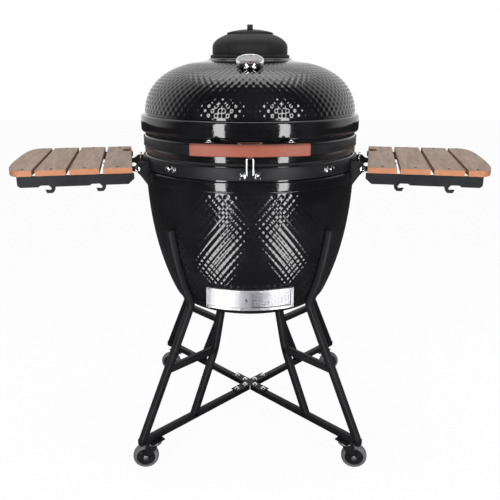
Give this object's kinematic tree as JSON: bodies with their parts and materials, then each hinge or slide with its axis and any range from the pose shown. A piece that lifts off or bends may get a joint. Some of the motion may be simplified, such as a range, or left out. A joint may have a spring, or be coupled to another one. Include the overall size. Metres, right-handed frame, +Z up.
{
  "type": "kamado ceramic grill",
  "caption": "Egg-shaped ceramic charcoal grill with a hinged lid, vented damper cap, draft slider, folding slatted side tables and a braced stand on swivel casters.",
  "frame": {"origin": "on the floor under the middle of the grill, at the bottom centre of its bounding box", "axes": "+Z up, -Y towards the front with the handle and draft slider, +X to the right"},
  "size_m": [1.3778, 0.724, 1.264],
  "materials": {
    "glaze": "gloss black glaze over dimpled ceramic",
    "fire_clay": "bare refractory ceramic",
    "cast_iron": "matte black coated cast iron",
    "stainless": "brushed stainless steel",
    "felt": "dark felt gasket",
    "black_steel": "black powder coat",
    "handle_wood": "reddish brown stained hardwood",
    "slat_wood": "oiled hardwood slats",
    "chrome": "polished chrome",
    "needle_paint": "painted pointer",
    "dial_glass": "clear lens",
    "caster_tread": "dark grey rubber"
  },
  "bodies": {
    "base": {"bowl": "glaze", "firebox": "fire_clay", "fire_ring": "fire_clay", "charcoal_grate": "cast_iron", "cooking_grate": "stainless", "bowl_gasket": "felt", "bowl_band": "black_steel", "hinge_base": "black_steel", "hinge_pin": "stainless", "hinge_spring_left": "stainless", "hinge_spring_right": "stainless", "latch_bracket": "chrome", "band_clamp_left": "chrome", "band_clamp_right": "chrome", "draft_frame": "stainless", "cross_plate": "black_steel", "table_bracket_left": "black_steel", "table_bracket_right": "black_steel", "leg_frame_front_left": "black_steel", "leg_frame_front_right": "black_steel", "leg_frame_rear_left": "black_steel", "leg_frame_rear_right": "black_steel"},
    "lid": {"lid": "glaze", "lid_gasket": "felt", "lid_band": "black_steel", "hinge_arm": "black_steel", "handle_bar": "handle_wood", "handle_post_left": "black_steel", "handle_post_right": "black_steel", "lid_catch": "chrome", "thermometer_case": "chrome", "thermometer_glass": "dial_glass", "damper_base": "cast_iron"},
    "damper_cap": {"damper_dome": "cast_iron"},
    "damper_wheel": {"daisy_wheel": "cast_iron"},
    "needle": {"thermometer_needle": "needle_paint"},
    "draft_door": {"draft_door": "stainless"},
    "draft_screen": {"draft_screen": "stainless"},
    "latch_bail": {"latch_bail": "chrome"},
    "table_left": {"table_frame_left": "black_steel", "slat_left_1": "slat_wood", "slat_left_2": "slat_wood", "slat_left_3": "slat_wood", "slat_left_4": "slat_wood"},
    "table_right": {"table_frame_right": "black_steel", "slat_right_1": "slat_wood", "slat_right_2": "slat_wood", "slat_right_3": "slat_wood", "slat_right_4": "slat_wood"},
    "fork_front_left": {"caster_fork_front_left": "black_steel"},
    "wheel_front_left": {"caster_wheel_front_left": "caster_tread"},
    "fork_front_right": {"caster_fork_front_right": "black_steel"},
    "wheel_front_right": {"caster_wheel_front_right": "caster_tread"},
    "fork_rear_left": {"caster_fork_rear_left": "black_steel"},
    "wheel_rear_left": {"caster_wheel_rear_left": "caster_tread"},
    "fork_rear_right": {"caster_fork_rear_right": "black_steel"},
    "wheel_rear_right": {"caster_wheel_rear_right": "caster_tread"}
  },
  "joints": [
    {"name": "lid_hinge", "type": "hinge", "parent": "base", "child": "lid", "pos_m": [0, 0.345, 0.9145], "axis": [-1, 0, 0], "range_deg": [0, 75]},
    {"name": "damper_swing", "type": "hinge", "parent": "lid", "child": "damper_cap", "pos_m": [0, 0.09, 1.2], "axis": [0, 0, 1], "range_deg": [0, 100]},
    {"name": "damper_turn", "type": "hinge", "parent": "damper_cap", "child": "damper_wheel", "pos_m": [0, 0, 1.25], "axis": [0, 0, 1], "range_deg": [0, 90]},
    {"name": "needle_turn", "type": "hinge", "parent": "lid", "child": "needle", "pos_m": [0, -0.197, 1.1635], "axis": [0, -0.3584, 0.9336], "range_deg": [-270, 0]},
    {"name": "draft_door_slide", "type": "hinge", "parent": "base", "child": "draft_door", "pos_m": [0, 0, 0.533], "axis": [0, 0, 1], "range_deg": [0, 24]},
    {"name": "draft_screen_slide", "type": "hinge", "parent": "base", "child": "draft_screen", "pos_m": [0, 0, 0.533], "axis": [0, 0, 1], "range_deg": [-24, 0]},
    {"name": "latch_swing", "type": "hinge", "parent": "base", "child": "latch_bail", "pos_m": [0, -0.3243, 0.8922], "axis": [1, 0, 0], "range_deg": [0, 90]},
    {"name": "table_left_fold", "type": "hinge", "parent": "base", "child": "table_left", "pos_m": [-0.33121, -0.06739, 0.88], "axis": [0.1994, -0.9799, 0], "range_deg": [0, 90]},
    {"name": "table_right_fold", "type": "hinge", "parent": "base", "child": "table_right", "pos_m": [0.33121, -0.06739, 0.88], "axis": [0.1994, 0.9799, 0], "range_deg": [0, 90]},
    {"name": "swivel_front_left", "type": "hinge", "parent": "base", "child": "fork_front_left", "pos_m": [-0.28567, -0.28567, 0.08], "axis": [0, 0, 1], "continuous": true},
    {"name": "roll_front_left", "type": "hinge", "parent": "fork_front_left", "child": "wheel_front_left", "pos_m": [-0.31252, -0.28849, 0.038], "axis": [0.1045, -0.9945, 0], "continuous": true},
    {"name": "swivel_front_right", "type": "hinge", "parent": "base", "child": "fork_front_right", "pos_m": [0.28567, -0.28567, 0.08], "axis": [0, 0, 1], "continuous": true},
    {"name": "roll_front_right", "type": "hinge", "parent": "fork_front_right", "child": "wheel_front_right", "pos_m": [0.31241, -0.28943, 0.038], "axis": [0.1392, 0.9903, 0], "continuous": true},
    {"name": "swivel_rear_left", "type": "hinge", "parent": "base", "child": "fork_rear_left", "pos_m": [-0.28567, 0.28567, 0.08], "axis": [0, 0, 1], "continuous": true},
    {"name": "roll_rear_left", "type": "hinge", "parent": "fork_rear_left", "child": "wheel_rear_left", "pos_m": [-0.31226, 0.29036, 0.038], "axis": [-0.1736, -0.9848, 0], "continuous": true},
    {"name": "swivel_rear_right", "type": "hinge", "parent": "base", "child": "fork_rear_right", "pos_m": [0.28567, 0.28567, 0.08], "axis": [0, 0, 1], "continuous": true},
    {"name": "roll_rear_right", "type": "hinge", "parent": "fork_rear_right", "child": "wheel_rear_right", "pos_m": [0.31208, 0.29128, 0.038], "axis": [-0.2079, 0.9781, 0], "continuous": true}
  ]
}
